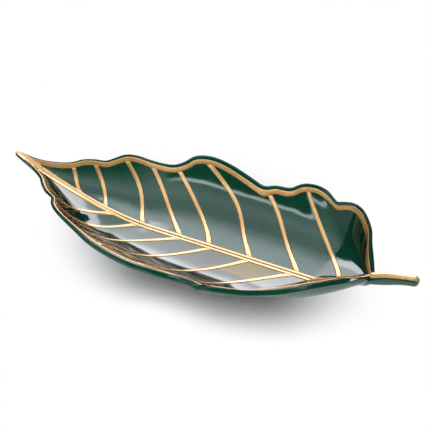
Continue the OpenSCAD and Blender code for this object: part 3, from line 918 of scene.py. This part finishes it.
# %% Bare clay
clay, start = new_finish("bare_buff_clay")
spot = start.add("ShaderNodeTexCoord", out="Object")
low = start.add("ShaderNodeSeparateXYZ", {}, {"Vector": spot}, out="Z").between(0.0015, 0.0)
grain = noise(start, spot, 900.0, detail=4.0)
specks = noise(start, spot, 520.0, detail=1.0).between(0.68, 0.72)
body = grain.between(0.3, 0.7).blend(srgb(214, 200, 176), srgb(230, 219, 198))
body = (specks * 0.7).blend(body, srgb(120, 88, 62))
body = (low * noise(start, spot, 150.0).between(0.4, 0.7) * 0.45).blend(body, srgb(150, 142, 132))
pits = grain * 0.00006
relief = start.add("ShaderNodeBump", {}, {"Strength": 0.6, "Distance": 1.0, "Height": pits})
shader = start.add("ShaderNodeBsdfPrincipled", {},
                   {"Base Color": body, "Roughness": grain * 0.15 + 0.75, "Normal": relief})
start.add("ShaderNodeOutputMaterial", {}, {"Surface": shader})
put_on(clay, foot)

# %% [markdown]
# ## The studio
#
# A glossy dish shows its surroundings more than its own colour, so the studio is part of the
# likeness. The floor is white paper that keeps the soft shadow under the dish and turns to plain
# white at its sides, where the photograph has only background. Light from overhead, leaned
# towards the camera, falls on the matt floor and on the colours, and sets that shadow.

# %% Floor
FLOOR_SIZE = 6.0
SHADOW_FROM, SHADOW_TO = 0.04, 0.13
PURE_WHITE = (1.0, 1.0, 1.0, 1.0)

bm = bmesh.new()
bmesh.ops.create_grid(bm, x_segments=1, y_segments=1, size=FLOOR_SIZE)
mesh = bpy.data.meshes.new("studio_floor")
bm.to_mesh(mesh)
bm.free()
floor = bpy.data.objects.new("studio_floor", mesh)
bpy.context.scene.collection.objects.link(floor)

paper, start = new_finish("white_paper")
spot = start.add("ShaderNodeTexCoord", out="Object")
away = start.dot(spot, eye_right).math("ABSOLUTE").between(SHADOW_FROM, SHADOW_TO)
seen = start.add("ShaderNodeLightPath", out="Is Camera Ray")
for ray in ("Is Glossy Ray", "Is Transmission Ray"):
    seen = seen.math("MAXIMUM", start.add("ShaderNodeLightPath", out=ray))
plain = start.add("ShaderNodeBsdfDiffuse", {}, {"Color": (0.96, 0.96, 0.96, 1.0)})
white = start.add("ShaderNodeEmission", {}, {"Color": PURE_WHITE, "Strength": 1.0})
far_white = start.add("ShaderNodeMixShader", {}, {0: seen * away, 1: plain, 2: white})
below = start.add("ShaderNodeNewGeometry", out="Backfacing")
clear = start.add("ShaderNodeBsdfTransparent")
surface = start.add("ShaderNodeMixShader", {}, {0: below, 1: far_white, 2: clear})
start.add("ShaderNodeOutputMaterial", {}, {"Surface": surface})
put_on(paper, floor)

# %% White background and light from overhead
UP = Vector((0, 0, 1))
behind = UP.cross(eye_right)
ROOM_FILL, ROOM_DARK, ROOM_TOP, ROOM_LEAN = 1.05, 0.03, 3.0, math.radians(35)
# Strength along the lean that gives the floor as much light as an even room of ROOM_FILL
FULL_ROOM = ROOM_FILL * (ROOM_TOP + 2) / 2 / math.cos(ROOM_LEAN)

world = bpy.data.worlds.new("studio")
bpy.context.scene.world = world
world.use_nodes = True
world.node_tree.nodes.clear()
start = Wire(world.node_tree)
seen = start.add("ShaderNodeLightPath", out="Is Camera Ray")
spread = start.add("ShaderNodeLightPath", out="Is Diffuse Ray")
sky = start.add("ShaderNodeTexCoord", out="Generated")
lean = UP * math.cos(ROOM_LEAN) - behind * math.sin(ROOM_LEAN)
overhead = start.dot(sky, lean).math("MAXIMUM", 0.0) ** ROOM_TOP * FULL_ROOM
level = spread * overhead + ROOM_DARK
room = start.add("ShaderNodeBackground", {}, {"Color": PURE_WHITE, "Strength": level})
white = start.add("ShaderNodeBackground", {}, {"Color": PURE_WHITE, "Strength": 1.0})
backdrop = start.add("ShaderNodeMixShader", {}, {0: seen, 1: room, 2: white})
start.add("ShaderNodeOutputWorld", {}, {"Surface": backdrop})
print("floor", 2 * FLOOR_SIZE, "m wide, light leans", round(math.degrees(ROOM_LEAN)), "degrees")

# %% [markdown]
# ## The light screens
#
# Everything that shines in the glaze is the picture of a screen. A tall soft box stands behind
# the dish with brighter strips and one warm card in front of it. A dim ceiling ends over the dish
# in a bright edge, which draws the streak under the far rim, and a dim wall stands to the left.
# Area lamps could do this, but a flat mesh with an emission and two ramps shows its own fading
# edges in a mirror. The screens show only in reflections, so they don't change the shadow.

# %% A light screen
BACK_WALL, LEFT_WALL, CEILING = 1.25, -2.9, 1.25
COOL, NEUTRAL, WARM = (0.84, 0.96, 1.0, 1.0), (0.97, 0.96, 1.0, 1.0), (1.0, 0.79, 0.60, 1.0)
EVEN, SCREEN_CELLS = [(0.0, 1.0), (1.0, 1.0)], 8


def screen(name, place, strength, upward=EVEN, rightward=EVEN, colour=COOL):
    """A flat light screen. place(u, v) gives its points: right of the dish, behind it, above it.
    The ramps give the strength's share from its lower (or front) to its upper (or rear) edge, and
    from its left to its right edge."""
    bm = bmesh.new()
    bmesh.ops.create_grid(bm, x_segments=SCREEN_CELLS, y_segments=SCREEN_CELLS, size=1.0)
    uv = bm.loops.layers.uv.new("screen")
    for f in bm.faces:
        for corner in f.loops:
            corner[uv].uv = ((corner.vert.co.x + 1) / 2, (corner.vert.co.y + 1) / 2)
    for p in bm.verts:
        right, back, up = place((p.co.x + 1) / 2, (p.co.y + 1) / 2)
        p.co = eye_right * right + behind * back + UP * up
    mesh = bpy.data.meshes.new(name)
    bm.to_mesh(mesh)
    bm.free()
    piece = bpy.data.objects.new(name, mesh)
    bpy.context.scene.collection.objects.link(piece)
    piece.visible_camera = piece.visible_shadow = piece.visible_diffuse = False
    material, start = new_finish(name)
    spot = start.add("ShaderNodeUVMap", {"uv_map": "screen"})
    level = strength
    for axis, stops in (("X", rightward), ("Y", upward)):
        run = start.add("ShaderNodeSeparateXYZ", {}, {"Vector": spot}, out=axis)
        grey = {"stops": [(at, (g, g, g, 1.0)) for at, g in stops]}
        level = start.add("ShaderNodeValToRGB", grey, {"Fac": run}) * level
    light = start.add("ShaderNodeEmission", {}, {"Color": colour, "Strength": level})
    start.add("ShaderNodeOutputMaterial", {}, {"Surface": light})
    put_on(material, piece)


def back_wall(rights, ups, forward=0.0):
    return lambda u, v: (mix(*rights, u), BACK_WALL - forward, mix(*ups, v))


def ceiling(rights, fronts, rears):
    return lambda u, v: (mix(*rights, u), mix(mix(*fronts, u), mix(*rears, u), v), CEILING)


def left_wall(backs, ups):
    return lambda u, v: (LEFT_WALL, mix(*backs, u), mix(*ups, v))


print("back wall", BACK_WALL, "m behind the dish, ceiling", CEILING, "m up")

# %% Screens behind the dish
CARD = 0.02  # how far the strips and cards stand in front of the soft box

screen("soft_box", back_wall((-0.22, 0.29), (0.04, 0.82)), 4.3,
       [(0.0, 1.0), (0.33, 1.0), (0.45, 0.78), (0.55, 0.66), (1.0, 0.66)], colour=NEUTRAL)
screen("soft_box_glow", back_wall((-0.22, 0.29), (0.82, 1.95)), 2.9,
       [(0.0, 1.0), (0.16, 0.82), (0.29, 0.55), (0.42, 0.42), (1.0, 0.33)])
screen("bright_strip", back_wall((0.145, 0.34), (0.50, 0.86), CARD), 5.5, colour=NEUTRAL)
screen("bright_side", back_wall((0.22, 0.40), (0.86, 1.10), CARD), 5.5, colour=NEUTRAL)
screen("bright_corner", back_wall((-0.50, -0.085), (0.66, 0.84), CARD), 5.2, colour=NEUTRAL)
screen("warm_card", back_wall((0.075, 0.145), (0.56, 0.80), CARD), 4.2, colour=WARM)

# %% Screens overhead and to the left
CEILING_LIGHT, EDGE_LIGHT, WALL_LIGHT = 1.3, 5.0, 0.42
CEILING_RAMP = [(0.0, 0.75), (0.3, 1.0), (0.6, 0.72), (1.0, 0.66)]
EDGE_STOP, EDGE_STOP_REAR = -2.4, -0.2494  # left end of the bright edge, on ceiling_end's front

screen("ceiling_fade", ceiling((-0.25, 0.60), (-0.35, -0.35), (1.15, 1.15)), CEILING_LIGHT,
       [(0.0, 0.0), (0.17, 0.27), (0.30, 0.56), (0.40, 0.82), (0.57, 1.0), (0.77, 0.68), (1.0, 0.68)])
screen("ceiling_middle", ceiling((-0.65, -0.25), (0.14, 0.25), (0.95, 1.15)), CEILING_LIGHT,
       CEILING_RAMP, [(0.0, 0.62), (1.0, 1.0)])
screen("ceiling_left", ceiling((-1.20, -0.65), (-0.20, 0.14), (0.88, 0.95)), CEILING_LIGHT,
       CEILING_RAMP, [(0.0, 0.42), (1.0, 0.62)])
screen("ceiling_end", ceiling((LEFT_WALL, -1.20), (-0.27, -0.20), (0.70, 0.88)), CEILING_LIGHT,
       CEILING_RAMP, [(0.0, 0.28), (1.0, 0.42)])
screen("edge_middle", ceiling((-0.65, -0.25), (0.08, 0.19), (0.14, 0.25)), EDGE_LIGHT,
       rightward=[(0.0, 1.0), (0.6, 1.0), (1.0, 0.4)])
screen("edge_left", ceiling((-1.20, -0.65), (-0.27, 0.08), (-0.20, 0.14)), EDGE_LIGHT)
screen("edge_end", ceiling((EDGE_STOP, -1.20), (-0.32, -0.27), (EDGE_STOP_REAR, -0.20)), EDGE_LIGHT)
screen("left_wall", left_wall((-3.2, 1.15), (0.0, CEILING)), WALL_LIGHT)
